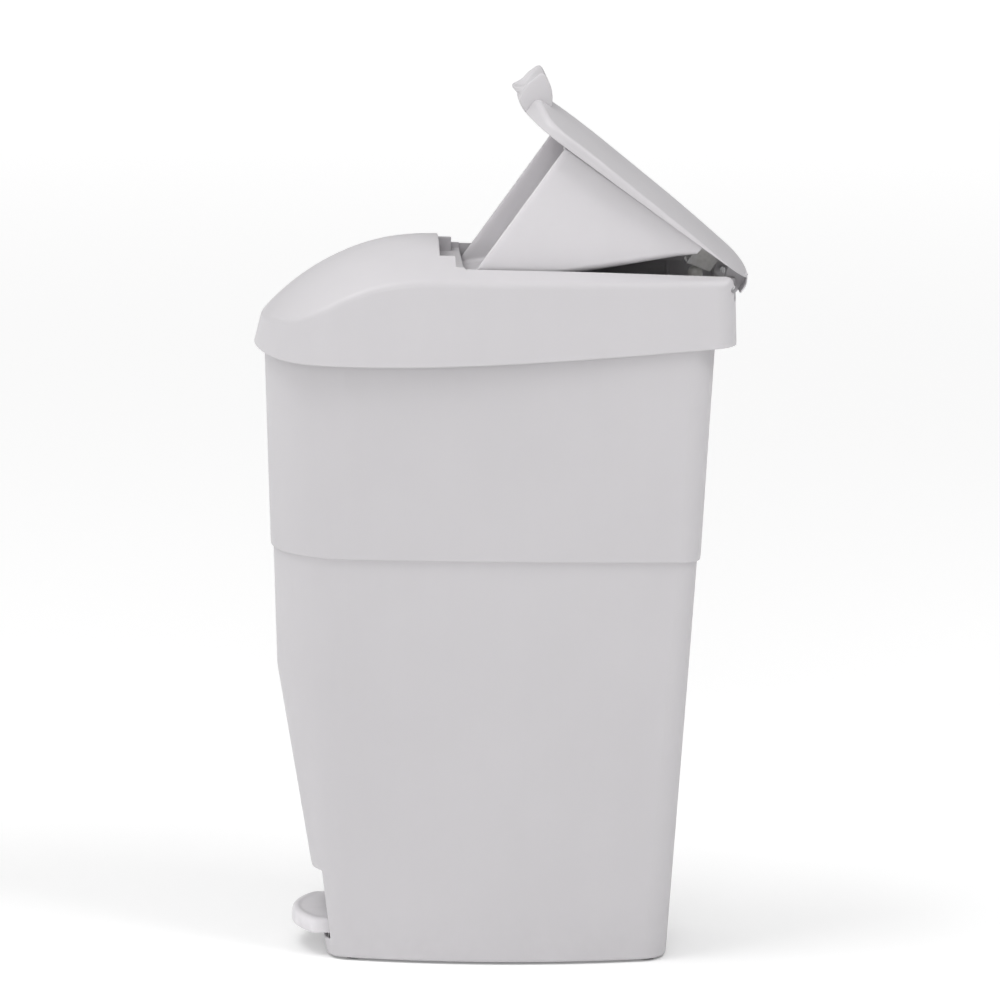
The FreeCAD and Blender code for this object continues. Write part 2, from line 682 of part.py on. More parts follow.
def tip_tray():
    """Open-fronted scoop: two side walls and a sloped floor, with a flange under the lid."""

    def wedge(half, inset):
        slope = (TRAY_HEEL_Z - TRAY_BOTTOM_Z) / (TRAY_REAR - TRAY_FRONT)
        lift = inset * math.sqrt(1 + slope * slope)
        front = TRAY_FRONT - 2 * inset
        return across([(front, TRAY_BOTTOM_Z + lift + (front - TRAY_FRONT) * slope),
                       (TRAY_REAR - inset, TRAY_HEEL_Z + lift - inset * slope),
                       (TRAY_REAR - inset, TRAY_TOP_Z), (front, TRAY_TOP_Z)], half)

    shell = wedge(TRAY_HALF, 0).cut(wedge(TRAY_HALF - TRAY_WALL, TRAY_WALL))
    flanges = both_sides(box((TRAY_HALF - FLANGE, TRAY_HALF), (TRAY_FRONT, TRAY_REAR),
                             (TRAY_TOP_Z - TRAY_WALL, TRAY_TOP_Z)))
    tray = joined([shell] + flanges)
    for x in (TRAY_BOSS_X, -TRAY_BOSS_X):
        for y in TRAY_BOSS_Y:
            tray = tray.cut(Part.makeCylinder(SCREW_R + HOLE_GAP, 10, V(x, y, TRAY_TOP_Z - 5)))
    return tray


def tray_screws():
    return Part.makeCompound([screw(V(x, y, TRAY_TOP_Z - TRAY_WALL), Z_AXIS, 5.5)
                              for x in (TRAY_BOSS_X, -TRAY_BOSS_X) for y in TRAY_BOSS_Y])


def lug_point(reach, lift):
    """Point of the closed lid's lug: reach from the hinge along its pad, lift above the pad."""
    a = math.radians(HALF_SWING - ROD_TILT)
    along = V(0, -math.cos(a), -math.sin(a))
    up = V(0, -math.sin(a), math.cos(a))
    p = HINGE + along * reach + up * lift
    return (p.y, p.z)


def lift_lug():
    """Folded steel channel: a pad for the rod, two cheeks and two flanges under the lid's roof."""
    low_near = lug_point(LUG_NEAR, 0)
    low_far = lug_point(LUG_REACH, 0)
    whole = across([low_far, low_near, (low_near[0] + 2, 600), (low_far[0], 600)], LUG_HALF)
    gap_far = lug_point(LUG_REACH + 5, LUG_STEEL)
    gap_near = lug_point(LUG_NEAR - 5, LUG_STEEL)
    gap = across([gap_far, gap_near, (gap_near[0] + 6, 600), (gap_far[0] - 6, 600)],
                 LUG_HALF - LUG_STEEL)
    under_roof = crowned(LID_CROWN, LID_CROWN_R, CROWN_HALF, WALL)
    channel = whole.cut(gap).common(under_roof)
    steel_roof = under_roof.cut(crowned(LID_CROWN, LID_CROWN_R, CROWN_HALF, WALL + LUG_STEEL))
    flange = box((LUG_HALF - LUG_STEEL, LUG_HALF + LUG_FLANGE), (low_far[0], low_near[0]), (560, 600))
    flanges = both_sides(flange.common(steel_roof))
    return joined([channel] + flanges).cut(joined(rivet_shanks(DRIVE_GAP)))


def rivet_shanks(gap=0.0):
    return both_sides(Part.makeCylinder(RIVET_R + gap, RIVET_LENGTH, RIVET))


def lug_rivets():
    head = Part.makeCylinder(2 * RIVET_R, RIVET_R, RIVET - Z_AXIS * RIVET_R)
    heads = both_sides(head.makeFillet(RIVET_R / 2, [head.Edges[2]]))
    return Part.makeCompound([shank.fuse(head) for shank, head in zip(rivet_shanks(), heads)])


# ---------------------------------------------------------------- pedal
def pedal_axle():
    return rod_along_x(AXLE_R, -AXLE_HALF, AXLE_HALF, PIVOT)


def axle_clips():
    inner = POST_X + POST_WIDTH + HOLE_GAP
    return Part.makeCompound(both_sides(tube_along_x(CLIP_R, AXLE_R + PRESS_GAP, inner, inner + CLIP_H,
                                                     PIVOT)))


def lever_bushes():
    outer_end = HUB_HALF + BUSH_FLANGE
    bore = AXLE_R + RUN_GAP
    sleeve = tube_along_x(BUSH_R - PRESS_GAP, bore, HUB_HALF - BUSH_LENGTH, outer_end, PIVOT)
    flange = tube_along_x(HUB_R, bore, HUB_HALF, outer_end, PIVOT)
    return Part.makeCompound(both_sides(sleeve.fuse(flange).removeSplitter()))


def toe_outline(z, inset):
    """D shape of the toe pad: a round nose and straight sides, at height z."""
    half = PAD_HALF - inset
    tip = PAD_TIP + inset
    shoulder = tip + PAD_NOSE
    nose = Part.Arc(V(-half, shoulder, z), V(0, tip, z), V(half, shoulder, z)).toShape()
    corners = [V(half, shoulder, z), V(half, PAD_REAR - inset, z), V(-half, PAD_REAR - inset, z),
               V(-half, shoulder, z)]
    return Part.Face(Part.Wire([nose] + Part.makePolygon(corners).Edges))


def toe_block(z0, z1, inset):
    return toe_outline(z0, inset).extrude(V(0, 0, z1 - z0))


def pedal_pad():
    pad = toe_block(PAD_BOTTOM_Z, PAD_TOP_Z, 0)
    pad = eased(pad, PAD_EDGE_R, lambda p: abs(p.z - PAD_TOP_Z) < NEAR and p.y < PAD_REAR - 1)
    pocket = toe_block(PAD_BOTTOM_Z - 1, PAD_BOTTOM_Z + TOE_PLATE, PAD_SKIN)
    neck = centred_box(PAD_HALF - PAD_SKIN, (PAD_REAR - 10, PAD_REAR + 10),
                       (PAD_BOTTOM_Z - 1, PAD_BOTTOM_Z + TOE_PLATE))
    pad = pad.cut(pocket).cut(neck)
    for x, y in PAD_SCREWS:
        pad = pad.cut(Part.makeCylinder(SCREW_R + DRIVE_GAP, 6, V(x, y, PAD_BOTTOM_Z + TOE_PLATE)))
    return pad


def pedal_lever():
    plate = toe_block(PAD_BOTTOM_Z, PAD_BOTTOM_Z + TOE_PLATE, PAD_SKIN + TOE_GAP)
    plate = plate.fuse(centred_box(PAD_HALF - PAD_SKIN - TOE_GAP, (PAD_REAR - 5, PAD_REAR + 6),
                                   (PAD_BOTTOM_Z, PAD_BOTTOM_Z + TOE_PLATE)))
    front = across([(PAD_REAR, PAD_BOTTOM_Z), (PIVOT.y, PIVOT.z - ARM_DEPTH),
                    (PIVOT.y, PIVOT.z + 2), (PAD_REAR + 4, PAD_BOTTOM_Z + TOE_PLATE + 4),
                    (PAD_REAR, PAD_BOTTOM_Z + TOE_PLATE)], ARM_HALF)
    swing = math.radians(PEDAL_HALF_SWING)
    tip = PIVOT + V(0, math.cos(swing), math.sin(swing)) * ARM_REACH
    rear = across([(PIVOT.y, PIVOT.z), (PIVOT.y, PIVOT.z - ARM_DEPTH),
                   (tip.y, tip.z - ARM_DEPTH), (tip.y, tip.z)], ARM_HALF)
    hub = rod_along_x(HUB_R, -HUB_HALF, HUB_HALF, PIVOT)
    lever = joined([plate, front, rear, hub])
    for x, y in PAD_SCREWS:
        lever = lever.cut(Part.makeCylinder(SCREW_R + HOLE_GAP, 8, V(x, y, PAD_BOTTOM_Z - 1)))
    return lever.cut(rod_along_x(BUSH_R, -FAR, FAR, PIVOT))


def pad_screws():
    return Part.makeCompound([screw(V(x, y, PAD_BOTTOM_Z), Z_AXIS, TOE_PLATE + 5)
                              for x, y in PAD_SCREWS])


# ---------------------------------------------------------------- assembly
def build():
    body = bin_body(tub_inside())
    block = lid_block()
    pin = hinge_pin()
    parts = {
        "bin_body": body,
        "base_plate": base_plate(),
        "base_screws": base_screws(),
        "rubber_feet": rubber_feet(),
        "bag_ring": bag_ring(),
        "rod_guide_lower": guide(GUIDE_Z[0], body),
        "rod_guide_upper": guide(GUIDE_Z[1], body),
        "rod_shroud": rod_shroud(body),
        "lift_rod": lift_rod(),
        "rod_cap": rod_cap(),
        "rod_foot": rod_foot(),
        "top_cover": top_cover(),
        "hinge_pin_right": pin,
        "hinge_pin_left": pin.mirror(V(0, 0, 0), X_AXIS),
        "pedal_axle": pedal_axle(),
        "axle_clips": axle_clips(),
        "lever_bushes": lever_bushes(),
        "pedal_lever": pedal_lever(),
        "pedal_pad": pedal_pad(),
        "pad_screws": pad_screws(),
    }
    closed_lid = {
        "lid_flap": lid_flap(block),
        "lid_grip": lid_grip(block),
        "tip_tray": tip_tray(),
        "tray_screws": tray_screws(),
        "lift_lug": lift_lug(),
        "lug_rivets": lug_rivets(),
    }
    parts.update({name: swung_open(shape) for name, shape in closed_lid.items()})
    return parts


os.makedirs("parts", exist_ok=True)
for name, shape in build().items():
    shape.exportStep("parts/%s.step" % name)
    size = shape.BoundBox
    print("%-16s solids %d valid %s  X %.1f..%.1f  Y %.1f..%.1f  Z %.1f..%.1f  %.1f cm3" % (
        name, len(shape.Solids), shape.isValid(), size.XMin, size.XMax, size.YMin, size.YMax,
        size.ZMin, size.ZMax, shape.Volume / 1000))
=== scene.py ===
import json
import math

import bmesh
import bpy
from mathutils import Matrix, Quaternion, Vector


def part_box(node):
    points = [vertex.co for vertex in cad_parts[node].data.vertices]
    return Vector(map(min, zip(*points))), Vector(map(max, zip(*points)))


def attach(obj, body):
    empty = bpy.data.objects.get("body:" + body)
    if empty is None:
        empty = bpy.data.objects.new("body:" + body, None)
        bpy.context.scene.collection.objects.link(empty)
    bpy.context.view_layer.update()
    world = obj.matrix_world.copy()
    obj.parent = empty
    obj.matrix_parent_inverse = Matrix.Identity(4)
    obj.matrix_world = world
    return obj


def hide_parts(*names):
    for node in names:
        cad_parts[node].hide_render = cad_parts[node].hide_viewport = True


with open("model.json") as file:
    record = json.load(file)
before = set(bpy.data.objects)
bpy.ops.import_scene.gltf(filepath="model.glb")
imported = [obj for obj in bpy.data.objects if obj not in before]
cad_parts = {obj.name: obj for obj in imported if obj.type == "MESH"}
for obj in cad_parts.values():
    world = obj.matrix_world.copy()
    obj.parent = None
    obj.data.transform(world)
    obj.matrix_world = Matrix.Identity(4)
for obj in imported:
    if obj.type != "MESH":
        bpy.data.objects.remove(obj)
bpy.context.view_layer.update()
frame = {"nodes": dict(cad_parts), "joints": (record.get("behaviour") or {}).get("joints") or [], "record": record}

# A slim pedal bin with its lid open. The frame's axes: X across the bin, -Y the front with the
# pedal, +Y the rear with the hinge, Z up. Everything is in metres.

NODES = frame["nodes"]
NODE_SLOT = {s["node"]: s["material_slot"] for s in frame["record"]["subparts"]}
JOINTS = {joint["name"]: joint for joint in frame["joints"]}
MM = 0.001

# ---------------------------------------------------------------- view and light
CAMERA_DISTANCE = 4.4
CAMERA_SIDE_TURN = math.radians(2.8)        # towards the front, from square on to the side
CAMERA_RISE = math.radians(11.5)
CAMERA_ROLL = math.radians(1.0)
CAMERA_TARGET = Vector((0, 0.0032, 0.374))
SENSOR = 36.0
VIEW_WIDTH = 0.815                          # width of the view at the target
LENS = SENSOR * CAMERA_DISTANCE / VIEW_WIDTH

# Brightness of the studio round the bin, by direction.
SKY_LEVEL = 0.42
SKY_FRONT = 0.42
SKY_SIDE = 0.04
SKY_TOP = 0.30
SKY_LEAST = 0.05                            # the darkest that any direction gets

FLOOR_GREY = 0.92
FLOOR_REACH = 40                            # half the width of the sweep
FLOOR_LIFT = 0.12                           # light of the white sweep itself, near the bin
SWEEP_LIFT = 0.60                           # and far from it
SWEEP_NEAR = 1.0                            # distances from the bin where its light starts to rise
SWEEP_FAR = 8.0                             # and reaches its full strength

# Softboxes: name, place, the point that each is turned to, size and power.
SOFTBOXES = [
    ("key_softbox", (0.6, -1.4, 3.6), (0, 0, 0.3), (1.6, 1.6), 38),
    ("side_softbox", (3.6, -0.6, 1.4), (0, 0, 0.4), (1.2, 1.2), 16),
    ("rear_softbox", (1.0, 1.6, 2.8), (0, 0, 0.5), (1.2, 1.2), 32),
]


# ---------------------------------------------------------------- material nodes
class Surface:
    """A Principled material whose inputs are fed by small node chains in the frame's metres."""

    def __init__(self, name, colour, roughness, **constants):
        self.material = bpy.data.materials.new(name)
        self.material.use_nodes = True
        self.tree = self.material.node_tree
        self.shader = self.tree.nodes["Principled BSDF"]
        self.shader.inputs["Base Color"].default_value = (*colour, 1)
        self.shader.inputs["Roughness"].default_value = roughness
        for socket, value in constants.items():
            self.shader.inputs[socket].default_value = value
        self.place = self.add("ShaderNodeTexCoord").outputs["Object"]

    def add(self, kind):
        return self.tree.nodes.new(kind)

    def feed(self, socket, value):
        """Links an output to a socket, or sets a plain number or vector on it."""
        if isinstance(value, bpy.types.NodeSocket):
            self.tree.links.new(value, socket)
        else:
            socket.default_value = value

    def maths(self, operation, a, b=0.0):
        node = self.add("ShaderNodeMath")
        node.operation = operation
        self.feed(node.inputs[0], a)
        self.feed(node.inputs[1], b)
        return node.outputs[0]

    def stretched(self, stretch):
        """The place, squeezed along each axis so that a texture's spots become streaks."""
        node = self.add("ShaderNodeVectorMath")
        node.operation = "MULTIPLY"
        self.feed(node.inputs[0], self.place)
        node.inputs[1].default_value = stretch
        return node.outputs[0]

    def noise(self, size, detail=2.0, stretch=None):
        """Noise with spots about size metres across; a stretch below 1 lengthens them."""
        node = self.add("ShaderNodeTexNoise")
        node.inputs["Scale"].default_value = 1 / size
        node.inputs["Detail"].default_value = detail
        self.feed(node.inputs["Vector"], self.stretched(stretch) if stretch else self.place)
        return node.outputs["Fac"]

    def cells(self, size):
        node = self.add("ShaderNodeTexVoronoi")
        node.inputs["Scale"].default_value = 1 / size
        self.feed(node.inputs["Vector"], self.place)
        return node.outputs["Distance"]

    def remap(self, value, start, end, low=0.0, high=1.0):
        node = self.add("ShaderNodeMapRange")
        self.feed(node.inputs["Value"], value)
        node.inputs["From Min"].default_value = start
        node.inputs["From Max"].default_value = end
        node.inputs["To Min"].default_value = low
        node.inputs["To Max"].default_value = high
        return node.outputs["Result"]

    def blend(self, amount, a, b):
        node = self.add("ShaderNodeMix")
        node.data_type = "RGBA"
        self.feed(node.inputs["Factor"], amount)
        self.feed(node.inputs[6], (*a, 1) if isinstance(a, tuple) else a)
        self.feed(node.inputs[7], (*b, 1) if isinstance(b, tuple) else b)
        return node.outputs[2]

    def height(self):
        """Height above the floor."""
        node = self.add("ShaderNodeSeparateXYZ")
        self.feed(node.inputs[0], self.place)
        return node.outputs["Z"]

    def rounded_normal(self, radius):
        node = self.add("ShaderNodeBevel")
        node.samples = 4
        node.inputs["Radius"].default_value = radius
        return node.outputs["Normal"]

    def edges(self, rounded):
        """1 along sharp edges and 0 on open faces."""
        node = self.add("ShaderNodeVectorMath")
        node.operation = "DOT_PRODUCT"
        self.feed(node.inputs[0], rounded)
        self.feed(node.inputs[1], self.add("ShaderNodeNewGeometry").outputs["Normal"])
        return self.remap(node.outputs["Value"], 0.99, 0.80)

    def bumped(self, height, depth, normal=None):
        node = self.add("ShaderNodeBump")
        node.inputs["Strength"].default_value = 1.0
        node.inputs["Distance"].default_value = depth
        self.feed(node.inputs["Height"], height)
        if normal is not None:
            self.feed(node.inputs["Normal"], normal)
        return node.outputs["Normal"]

    def paint(self, colour=None, roughness=None, normal=None):
        for name, value in (("Base Color", colour), ("Roughness", roughness), ("Normal", normal)):
            if value is not None:
                self.feed(self.shader.inputs[name], value)
        return self.material


# ---------------------------------------------------------------- studio
def add_camera():
    """Camera at the bin's right-hand side, a little in front of it and above it."""
    turn = CAMERA_SIDE_TURN
    level = math.cos(CAMERA_RISE)
    back = Vector((level * math.cos(turn), -level * math.sin(turn), math.sin(CAMERA_RISE)))
    data = bpy.data.cameras.new("camera")
    data.sensor_width = SENSOR
    data.lens = LENS
    data.clip_end = 100
    camera = bpy.data.objects.new("camera", data)
    camera.location = CAMERA_TARGET + back * CAMERA_DISTANCE
    camera.rotation_mode = "QUATERNION"
    camera.rotation_quaternion = back.to_track_quat("Z", "Y") @ Quaternion((0, 0, 1), CAMERA_ROLL)
    bpy.context.collection.objects.link(camera)
    bpy.context.scene.camera = camera


def add_studio():
    """Soft light from all round, brightest above and in front of the bin."""
    world = bpy.data.worlds.new("studio")
    bpy.context.scene.world = world
    world.use_nodes = True
    nodes = world.node_tree.nodes
    links = world.node_tree.links
    direction = nodes.new("ShaderNodeTexCoord").outputs["Generated"]
    slope = nodes.new("ShaderNodeVectorMath")
    slope.operation = "DOT_PRODUCT"
    slope.inputs[1].default_value = (SKY_SIDE, -SKY_FRONT, SKY_TOP)
    links.new(direction, slope.inputs[0])
    level = nodes.new("ShaderNodeMath")
    level.operation = "ADD"
    level.inputs[1].default_value = SKY_LEVEL
    links.new(slope.outputs["Value"], level.inputs[0])
    strength = nodes.new("ShaderNodeMath")
    strength.operation = "MAXIMUM"
    strength.inputs[1].default_value = SKY_LEAST
    links.new(level.outputs[0], strength.inputs[0])
    nodes["Background"].inputs["Color"].default_value = (1, 1, 1, 1)
    links.new(strength.outputs[0], nodes["Background"].inputs["Strength"])
    bpy.context.scene.view_settings.view_transform = "Standard"


def add_area_light(name, place, target, size, power):
    """A rectangular softbox at a place, turned to a target."""
    data = bpy.data.lights.new(name, "AREA")
    data.shape = "RECTANGLE"
    data.size, data.size_y = size
    data.energy = power
    lamp = bpy.data.objects.new(name, data)
    lamp.location = place
    lamp.rotation_euler = (Vector(target) - Vector(place)).to_track_quat("-Z", "Y").to_euler()
    bpy.context.collection.objects.link(lamp)


def add_floor():
    """A white sweep that gives off a little light, more of it far away."""
    reach = FLOOR_REACH
    mesh = bpy.data.meshes.new("floor")
    mesh.from_pydata([(-reach, -reach, 0), (reach, -reach, 0), (reach, reach, 0), (-reach, reach, 0)],
                     [], [(0, 1, 2, 3)])
    floor = bpy.data.objects.new("floor", mesh)
    bpy.context.collection.objects.link(floor)
    paper = Surface("studio_floor", (FLOOR_GREY, FLOOR_GREY, FLOOR_GREY), 0.9)
    paper.shader.inputs["Emission Color"].default_value = (1, 1, 1, 1)
    distance = paper.add("ShaderNodeVectorMath")
    distance.operation = "LENGTH"
    paper.feed(distance.inputs[0], paper.place)
    lift = paper.remap(distance.outputs["Value"], SWEEP_NEAR, SWEEP_FAR, FLOOR_LIFT, SWEEP_LIFT)
    paper.feed(paper.shader.inputs["Emission Strength"], lift)
    mesh.materials.append(paper.material)


# ---------------------------------------------------------------- materials
LIGHT_DEPTH = 5 * MM           # how far light spreads inside the tray's thin walls


def shade(colour, factor):
    return tuple(channel * factor for channel in colour)


def moulded_plastic(name, colour, roughness, grain=0.9 * MM, grain_depth=0.012 * MM, mottle=0.02,
                    edge_radius=0.8 * MM, scuffs=0.5, glow=0.0, dust_and_shade=0.10, dust_and_shade_top=50 * MM):
    """Injection-moulded plastic: fine spark grain, faint flow marks, rubbed edges and hairline scuffs."""
    s = Surface(name, colour, roughness)
    if glow:
        s.shader.inputs["Subsurface Weight"].default_value = glow
        s.shader.inputs["Subsurface Radius"].default_value = (1.0, 1.0, 1.0)
        s.shader.inputs["Subsurface Scale"].default_value = LIGHT_DEPTH
    cloud = s.noise(0.14, 3.0)
    flow = s.noise(0.03, 3.0, stretch=(1.0, 1.0, 0.10))
    tone = s.maths("ADD", s.remap(cloud, 0.3, 0.7, -1.0, 1.0), s.remap(flow, 0.3, 0.7, -0.5, 0.5))
    base = s.blend(s.remap(tone, -1.5, 1.5), shade(colour, 1 - mottle), shade(colour, 1 + mottle))
    rounded = s.rounded_normal(edge_radius)
    rubbed = s.maths("MULTIPLY", s.edges(rounded), s.remap(s.noise(0.02, 4.0), 0.35, 0.65))
    base = s.blend(s.maths("MULTIPLY", rubbed, 0.35), base, shade(colour, 1.14))
    hair = s.remap(s.noise(0.0022, 2.0, stretch=(1.0, 0.035, 1.0)), 0.70, 0.78)
    patch = s.remap(s.noise(0.06, 2.0), 0.52, 0.68)
    scuff = s.maths("MULTIPLY", s.maths("MULTIPLY", hair, patch), scuffs)
    base = s.blend(s.maths("MULTIPLY", scuff, 0.30), base, shade(colour, 0.86))
    # Darker towards the floor: a little real dust on the shell pieces, and on the pedal mostly painted shade that
    # keeps its wall darker than its lit top.
    low = s.remap(s.height(), dust_and_shade_top, 0.4 * dust_and_shade_top)
    dust = s.maths("MULTIPLY", low, s.remap(s.noise(0.012, 4.0), 0.35, 0.75))
    base = s.blend(s.maths("MULTIPLY", dust, dust_and_shade), base, shade(colour, 0.70))
    gloss = s.maths("ADD", s.remap(s.noise(0.05, 4.0), 0.3, 0.7, roughness - 0.05, roughness + 0.05),
                    s.maths("MULTIPLY", scuff, 0.15))
    gloss = s.maths("SUBTRACT", gloss, s.maths("MULTIPLY", rubbed, 0.08))
    grains = s.maths("ADD", s.noise(grain, 2.0), s.maths("MULTIPLY", s.cells(grain * 1.6), 0.5))
    ripple = s.bumped(s.noise(0.05, 1.0), 0.10 * MM, rounded)
    normal = s.bumped(grains, grain_depth, ripple)
    return s.paint(base, gloss, normal)


def turned_steel(name, colour, roughness, streak):
    """Drawn or turned steel: fine streaks along it and slight staining."""
    s = Surface(name, colour, roughness, Metallic=1.0)
    lines = s.noise(0.0006, 3.0, stretch=streak)
    stain = s.remap(s.noise(0.012, 4.0), 0.40, 0.75)
    base = s.blend(s.maths("MULTIPLY", stain, 0.35), colour, shade(colour, 0.72))
    gloss = s.remap(lines, 0.3, 0.7, roughness - 0.08, roughness + 0.12)
    return s.paint(base, gloss, s.bumped(lines, 0.004 * MM, s.rounded_normal(0.25 * MM)))


def zinc_plate():
    """Bright zinc on pressed steel: small crystals, a trace of yellow and dull patches."""
    colour = (0.60, 0.60, 0.61)
    s = Surface("zinc_plate", colour, 0.38, Metallic=1.0)
    crystals = s.cells(0.0035)
    bloom = s.remap(s.noise(0.02, 4.0), 0.40, 0.70)
    base = s.blend(s.remap(crystals, 0.0, 0.8), shade(colour, 0.88), shade(colour, 1.10))
    base = s.blend(s.maths("MULTIPLY", bloom, 0.25), base, (0.58, 0.55, 0.46))
    gloss = s.maths("ADD", s.remap(crystals, 0.0, 0.8, 0.30, 0.42), s.maths("MULTIPLY", bloom, 0.12))
    return s.paint(base, gloss, s.bumped(s.noise(0.0012, 3.0), 0.008 * MM, s.rounded_normal(0.3 * MM)))


def black_rubber():
    """Matt rubber with a pitted skin that holds dust."""
    colour = (0.028, 0.028, 0.030)
    s = Surface("black_rubber", colour, 0.82)
    dust = s.remap(s.noise(0.006, 5.0), 0.45, 0.75)
    base = s.blend(s.maths("MULTIPLY", dust, 0.35), colour, (0.13, 0.125, 0.12))
    skin = s.maths("ADD", s.noise(0.0008, 3.0), s.cells(0.0016))
    gloss = s.remap(dust, 0.0, 1.0, 0.74, 0.92)
    return s.paint(base, gloss, s.bumped(skin, 0.03 * MM, s.rounded_normal(0.5 * MM)))


SHELL_GREY = (0.535, 0.521, 0.537)
TRAY_GREY = (0.620, 0.604, 0.622)
MATERIALS = {
    "body_plastic": moulded_plastic("body_plastic", SHELL_GREY, 0.46),
    "cover_plastic": moulded_plastic("cover_plastic", shade(SHELL_GREY, 1.01), 0.42),
    "tray_plastic": moulded_plastic("tray_plastic", TRAY_GREY, 0.34, grain_depth=0.004 * MM, glow=0.5),
    # The pedal is the shell grey made 1.35 times lighter, a painted light for its top in the shade of the body's
    # nose. Its strong darkening near the floor is painted shade on its wall, with a little real dust.
    "pedal_plastic": moulded_plastic("pedal_plastic", shade(SHELL_GREY, 1.35), 0.50, scuffs=1.0,
                                     grain_depth=0.02 * MM, dust_and_shade=0.8, dust_and_shade_top=36 * MM),
    "base_plastic": moulded_plastic("base_plastic", (0.33, 0.33, 0.34), 0.55),
    "ring_plastic": moulded_plastic("ring_plastic", (0.66, 0.65, 0.67), 0.45),
    "guide_plastic": moulded_plastic("guide_plastic", (0.72, 0.71, 0.68), 0.30, mottle=0.01,
                                     grain_depth=0.003 * MM),
    "foot_rubber": black_rubber(),
    "steel": turned_steel("bright_steel", (0.56, 0.56, 0.57), 0.26, (0.05, 1.0, 0.05)),
    "zinc_steel": zinc_plate(),
    "spring_steel": turned_steel("spring_steel", (0.30, 0.29, 0.28), 0.34, (1.0, 0.1, 0.1)),
}


def finish_cad_nodes():
    """Gives every CAD node the material of its slot in the record."""
    for name, piece in NODES.items():
        piece.data.materials.clear()
        piece.data.materials.append(MATERIALS[NODE_SLOT[name]])


# ---------------------------------------------------------------- mesh building
HINGE = Vector(JOINTS["lid_hinge"]["pos_m"])
LID_SWING = math.radians(JOINTS["lid_hinge"]["range_deg"][1])
OPEN_LID = Matrix.Translation(HINGE) @ Matrix.Rotation(-LID_SWING, 4, "X") @ Matrix.Translation(-HINGE)


def sheet_of(rows, closed=False, cap_start=False, cap_end=False):
    """Mesh of quads through rows of points; closed joins each row's last point to its first."""
    mesh = bmesh.new()
    grid = [[mesh.verts.new(point) for point in row] for row in rows]
    count = len(rows[0])
    for low, high in zip(grid, grid[1:]):
        for i in range(count if closed else count - 1):
            j = (i + 1) % count
            mesh.faces.new((low[i], low[j], high[j], high[i]))
    if cap_start:
        mesh.faces.new(list(reversed(grid[0])))
    if cap_end:
        mesh.faces.new(grid[-1])
    return mesh


def add_piece(name, mesh, slot, body, *nodes):
    """Turns a bmesh into a smooth piece that stands for CAD nodes and rides on their body."""
    bmesh.ops.recalc_face_normals(mesh, faces=mesh.faces)
    data = bpy.data.meshes.new(name)
    mesh.to_mesh(data)
    mesh.free()
    data.shade_smooth()
    data.materials.append(MATERIALS[slot])
    piece = bpy.data.objects.new(name, data)
    bpy.context.collection.objects.link(piece)
    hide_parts(*nodes)
    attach(piece, body)
    return piece


def subdivide(piece, levels):
    smooth = piece.modifiers.new("smooth", "SUBSURF")
    smooth.levels = levels
    smooth.render_levels = levels


def mixed(a, b, amount):
    return tuple(p + (q - p) * amount for p, q in zip(a, b))


# ---------------------------------------------------------------- grip
GRIP_HALF = 28 * MM
# Places of its slices across the bin, as parts of its half width, closer together near its ends.
GRIP_SLICES = (-1.0, -0.96, -0.86, -0.66, -0.36, 0.0, 0.36, 0.66, 0.86, 0.96, 1.0)

# Profile of the grip on the closed lid, as (y, z) in mm: at its ends, and in the middle, where the
# front is scooped out for the fingers above a forward lip.
GRIP_END = [(-29.5, 577), (-30, 575.8), (-35, 576.4), (-38.8, 579.2), (-40.8, 582.4), (-40.7, 585),
            (-42.2, 587.2), (-42.8, 591), (-42.6, 597), (-41.3, 603), (-39.6, 607.5), (-37.6, 609.6),
            (-34.8, 608.9), (-28.8, 606), (-23.2, 602), (-18.8, 596.8), (-16.6, 592), (-16.2, 589.6),
            (-29.3, 588.6)]
GRIP_MIDDLE = [(-29.5, 577), (-30, 575.8), (-35, 576.2), (-39, 578.6), (-40.6, 581.4), (-42, 582.6),
               (-48.6, 583.4), (-49.8, 585.2), (-43, 587.6), (-37, 594), (-37.4, 604.5), (-37.8, 609.4),
               (-34.8, 608.9), (-28.8, 606), (-23.2, 602), (-18.8, 596.8), (-16.6, 592), (-16.2, 589.6),
               (-29.3, 588.6)]
SCOOP_END = 0.90                    # how far out the scoop reaches, as a part of the half width
LID_TOP = 592                       # height of the closed lid's skin under the grip, in mm
GRIP_CENTRE = (-32, 597)
END_SLICE = 0.97                    # slices beyond here are drawn in, to round the grip's ends
END_ROUNDING = 0.10


def grip_profile(slice_place):
    """Closed-lid profile at a place from -1 to 1 across the grip, in metres."""
    off = abs(slice_place)
    scooped = max(0.0, 1 - (off / SCOOP_END) ** 3)
    profile = [mixed(end, middle, scooped) for end, middle in zip(GRIP_END, GRIP_MIDDLE)]
    if off > END_SLICE:
        profile = [mixed(point, GRIP_CENTRE, END_ROUNDING) if point[1] > LID_TOP else point
                   for point in profile]
    return [Vector((slice_place * GRIP_HALF, y * MM, z * MM)) for y, z in profile]


def build_grip():
    """The hooded grip at the lid's front, in the lid's open place."""
    rows = [[OPEN_LID @ point for point in grip_profile(place)] for place in GRIP_SLICES]
    piece = add_piece("grip_hood", sheet_of(rows, True, True, True), "cover_plastic", "lid", "lid_grip")
    subdivide(piece, 3)


